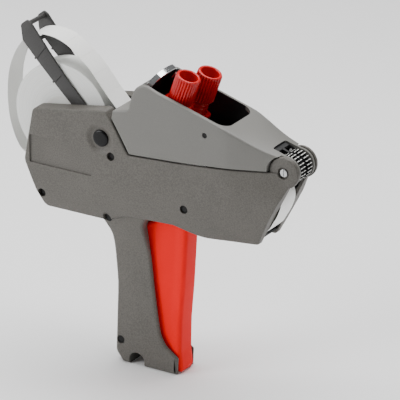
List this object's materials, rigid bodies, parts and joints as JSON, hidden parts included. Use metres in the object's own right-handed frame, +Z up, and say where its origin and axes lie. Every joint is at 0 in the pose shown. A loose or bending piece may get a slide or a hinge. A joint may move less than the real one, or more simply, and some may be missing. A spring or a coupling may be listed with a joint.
{
  "type": "price labeling gun",
  "caption": "Hand-held price labeling gun with squeeze trigger, hinged top cover, setting knobs, open label roll with web arm and toothed label applicator.",
  "frame": {"origin": "middle of the grip's flat foot, on the surface that the gun stands on", "axes": "+X forward to the applicator nose, +Y to the user's left, +Z up along the grip"},
  "size_m": [0.2502, 0.046, 0.2537],
  "materials": {
    "housing_plastic": "fine grained warm grey moulding",
    "cover_plastic": "smooth lighter warm grey moulding",
    "arm_plastic": "dark grey moulding",
    "dark_plastic": "black moulding",
    "button_plastic": "polished black",
    "trigger_plastic": "vivid red, satin",
    "knob_plastic": "deep red",
    "pin_steel": "bright turned steel",
    "frame_steel": "stamped, dull",
    "bail_steel": "polished",
    "spring_steel": "drawn wire",
    "label_paper": "white coated paper",
    "core_card": "white card",
    "type_rubber": "black type rubber",
    "ink_felt": "inked felt",
    "wheel_plastic": "white moulding",
    "bridge_plastic": "grey moulding"
  },
  "bodies": {
    "root": {"right_housing": "housing_plastic", "left_housing": "housing_plastic", "foot_pad": "dark_plastic", "housing_screws": "pin_steel", "right_frame_plate": "frame_steel", "left_frame_plate": "frame_steel", "frame_spacers": "frame_steel", "lever_shaft": "pin_steel", "feed_shaft": "pin_steel", "head_pivot_pin": "pin_steel", "web_guide_bar": "dark_plastic", "platen": "dark_plastic", "peel_plate": "dark_plastic", "liner_guide": "dark_plastic", "front_axle": "pin_steel", "wheel_separator": "dark_plastic", "roll_spindle": "pin_steel", "arm_pivot_pins": "pin_steel", "trigger_pivot_pin": "pin_steel", "trigger_spring": "spring_steel", "right_button_spring": "spring_steel", "left_button_spring": "spring_steel", "label_web": "label_paper", "liner_strip": "label_paper"},
    "cover": {"top_cover": "cover_plastic", "applicator_plate": "dark_plastic", "cover_screws": "dark_plastic"},
    "bail": {"hang_bail": "bail_steel"},
    "print_head": {"head_frame": "dark_plastic", "knob_base": "knob_plastic", "head_bridge": "bridge_plastic", "type_axle": "pin_steel"},
    "right_selector": {"right_selector_sleeve": "knob_plastic"},
    "left_selector": {"left_selector_sleeve": "knob_plastic"},
    "right_dial": {"right_knob": "knob_plastic", "right_knob_shaft": "pin_steel"},
    "left_dial": {"left_knob": "knob_plastic", "left_knob_shaft": "pin_steel"},
    "right_type": {"right_type_wheels": "type_rubber"},
    "left_type": {"left_type_wheels": "type_rubber"},
    "ink_carrier": {"ink_arm": "dark_plastic"},
    "inker": {"ink_roller": "ink_felt"},
    "trigger_unit": {"trigger": "trigger_plastic", "trigger_cam": "frame_steel"},
    "lever": {"drive_lever": "frame_steel"},
    "pawl": {"feed_pawl": "frame_steel"},
    "feed": {"feed_wheel": "type_rubber", "ratchet_wheel": "frame_steel"},
    "web_arm": {"right_roll_arm": "arm_plastic", "left_roll_arm": "arm_plastic", "arm_crossbars": "arm_plastic"},
    "roll": {"label_roll": "label_paper", "roll_core": "core_card", "core_hub": "wheel_plastic"},
    "right_applicator": {"right_applicator_wheel": "wheel_plastic"},
    "left_applicator": {"left_applicator_wheel": "wheel_plastic"},
    "right_release": {"right_button": "button_plastic"},
    "left_release": {"left_button": "button_plastic"}
  },
  "joints": [
    {"name": "cover_hinge", "type": "hinge", "parent": "root", "child": "cover", "pos_m": [0.116, 0, 0.1815], "axis": [0, 1, 0], "range_deg": [0, 75]},
    {"name": "bail_hinge", "type": "hinge", "parent": "cover", "child": "bail", "pos_m": [0.0035, 0, 0.2245], "axis": [0, -1, 0], "range_deg": [-35, 56]},
    {"name": "trigger_squeeze", "type": "hinge", "parent": "root", "child": "trigger_unit", "pos_m": [0.016, 0, 0.008], "axis": [0, -1, 0], "range_deg": [0, 10], "stiffness_Nm_per_rad": 1.2, "springref_deg": -8.59, "deforming": ["trigger_spring"]},
    {"name": "lever_swing", "type": "hinge", "parent": "root", "child": "lever", "pos_m": [0.004, 0, 0.166], "axis": [0, 1, 0], "range_deg": [0, 36]},
    {"name": "pawl_swing", "type": "hinge", "parent": "trigger_unit", "child": "pawl", "pos_m": [0.015, 0, 0.134], "axis": [0, -1, 0], "range_deg": [-10, 0]},
    {"name": "head_strike", "type": "hinge", "parent": "root", "child": "print_head", "pos_m": [-0.006, 0, 0.19], "axis": [0, 1, 0], "range_deg": [0, 4.5]},
    {"name": "ink_swing", "type": "hinge", "parent": "print_head", "child": "ink_carrier", "pos_m": [0.084, 0, 0.1795], "axis": [0, -1, 0], "range_deg": [0, 25]},
    {"name": "ink_roll", "type": "hinge", "parent": "ink_carrier", "child": "inker", "pos_m": [0.0993, 0, 0.168], "axis": [0, 1, 0], "continuous": true},
    {"name": "right_selector_pull", "type": "slide", "parent": "print_head", "child": "right_selector", "axis": [0.342, 0, 0.9397], "range_m": [0, 0.006]},
    {"name": "left_selector_pull", "type": "slide", "parent": "print_head", "child": "left_selector", "axis": [0.342, 0, 0.9397], "range_m": [0, 0.006]},
    {"name": "right_dial_turn", "type": "hinge", "parent": "right_selector", "child": "right_dial", "pos_m": [0.0266, -0.0098, 0.2162], "axis": [0.342, 0, 0.9397], "continuous": true},
    {"name": "left_dial_turn", "type": "hinge", "parent": "left_selector", "child": "left_dial", "pos_m": [0.03271, 0.0098, 0.21398], "axis": [0.342, 0, 0.9397], "continuous": true},
    {"name": "right_type_turn", "type": "hinge", "parent": "print_head", "child": "right_type", "pos_m": [0.088, 0, 0.1714], "axis": [0, 1, 0], "continuous": true},
    {"name": "left_type_turn", "type": "hinge", "parent": "print_head", "child": "left_type", "pos_m": [0.088, 0, 0.1714], "axis": [0, 1, 0], "continuous": true},
    {"name": "feed_turn", "type": "hinge", "parent": "root", "child": "feed", "pos_m": [0.072, 0, 0.1348], "axis": [0, 1, 0], "continuous": true},
    {"name": "web_arm_swing", "type": "hinge", "parent": "root", "child": "web_arm", "pos_m": [-0.0338, 0, 0.179], "axis": [0, 1, 0], "range_deg": [-14, 12], "stiffness_Nm_per_rad": 0.2, "deforming": ["label_web"]},
    {"name": "roll_turn", "type": "hinge", "parent": "root", "child": "roll", "pos_m": [-0.0746, 0, 0.1845], "axis": [0, 1, 0], "continuous": true},
    {"name": "right_applicator_turn", "type": "hinge", "parent": "root", "child": "right_applicator", "pos_m": [0.116, 0, 0.1815], "axis": [0, 1, 0], "continuous": true},
    {"name": "left_applicator_turn", "type": "hinge", "parent": "root", "child": "left_applicator", "pos_m": [0.116, 0, 0.1815], "axis": [0, 1, 0], "continuous": true},
    {"name": "right_button_press", "type": "slide", "parent": "root", "child": "right_release", "axis": [0, 1, 0], "range_m": [0, 0.0024], "stiffness_N_per_m": 400, "springref_m": -0.001, "deforming": ["right_button_spring"]},
    {"name": "left_button_press", "type": "slide", "parent": "root", "child": "left_release", "axis": [0, -1, 0], "range_m": [0, 0.0024], "stiffness_N_per_m": 400, "springref_m": -0.001, "deforming": ["left_button_spring"]}
  ],
  "couplings": [
    {"joint": "lever_swing", "follows": "trigger_squeeze", "ratio": 3.6},
    {"joint": "pawl_swing", "follows": "trigger_squeeze", "ratio": -1},
    {"joint": "head_strike", "follows": "trigger_squeeze", "ratio": 0.45},
    {"joint": "ink_swing", "follows": "trigger_squeeze", "ratio": 2.5},
    {"joint": "right_type_turn", "follows": "right_dial_turn", "ratio": -1},
    {"joint": "left_type_turn", "follows": "left_dial_turn", "ratio": 1}
  ]
}
